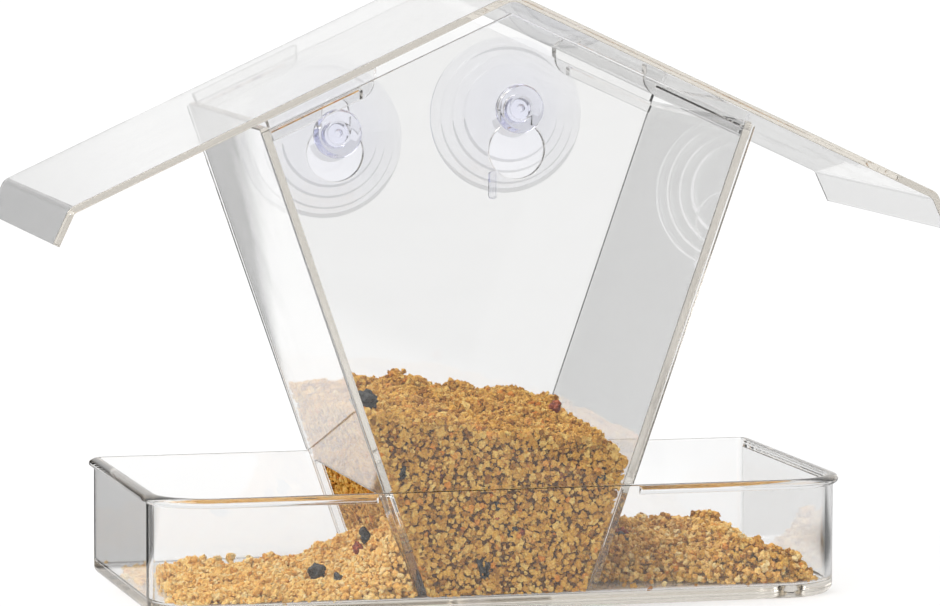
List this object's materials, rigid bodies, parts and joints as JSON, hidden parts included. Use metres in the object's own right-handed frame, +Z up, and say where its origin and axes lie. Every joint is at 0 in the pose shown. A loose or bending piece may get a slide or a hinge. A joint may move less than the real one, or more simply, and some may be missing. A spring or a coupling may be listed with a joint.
{
  "type": "window bird feeder",
  "caption": "Clear plastic house-shaped gravity bird feeder: V hopper over a shallow tray, lift-off gable roof, suction cups in keyhole slots for hanging on a window",
  "frame": {"origin": "middle of the tray's flat underside", "axes": "+Z up, +Y towards the window that the cups hold on to, +X along the tray, to the right seen from the front"},
  "size_m": [0.25, 0.107, 0.1665],
  "materials": {
    "clear_plastic": "gloss",
    "cup_pvc": "satin",
    "feed": "matte"
  },
  "bodies": {
    "feeder_body": {"tray": "clear_plastic", "front_panel": "clear_plastic", "back_panel": "clear_plastic", "left_hopper_wall": "clear_plastic", "right_hopper_wall": "clear_plastic", "feed_in_hopper": "feed", "feed_left_tray": "feed", "feed_right_tray": "feed"},
    "roof_body": {"roof": "clear_plastic", "roof_tab_front_left": "clear_plastic", "roof_tab_front_right": "clear_plastic", "roof_tab_back_left": "clear_plastic", "roof_tab_back_right": "clear_plastic"},
    "cup_left_body": {"suction_cup_left": "cup_pvc"},
    "cup_right_body": {"suction_cup_right": "cup_pvc"}
  },
  "joints": [
    {"name": "roof_lift", "type": "slide", "parent": "feeder_body", "child": "roof_body", "axis": [0, 0, 1], "range_m": [0, 0.045]},
    {"name": "cup_left_slide", "type": "slide", "parent": "feeder_body", "child": "cup_left_body", "axis": [0, 0, 1], "range_m": [-0.0094, 0.0062]},
    {"name": "cup_right_slide", "type": "slide", "parent": "feeder_body", "child": "cup_right_body", "axis": [0, 0, 1], "range_m": [-0.0158, 0]}
  ]
}
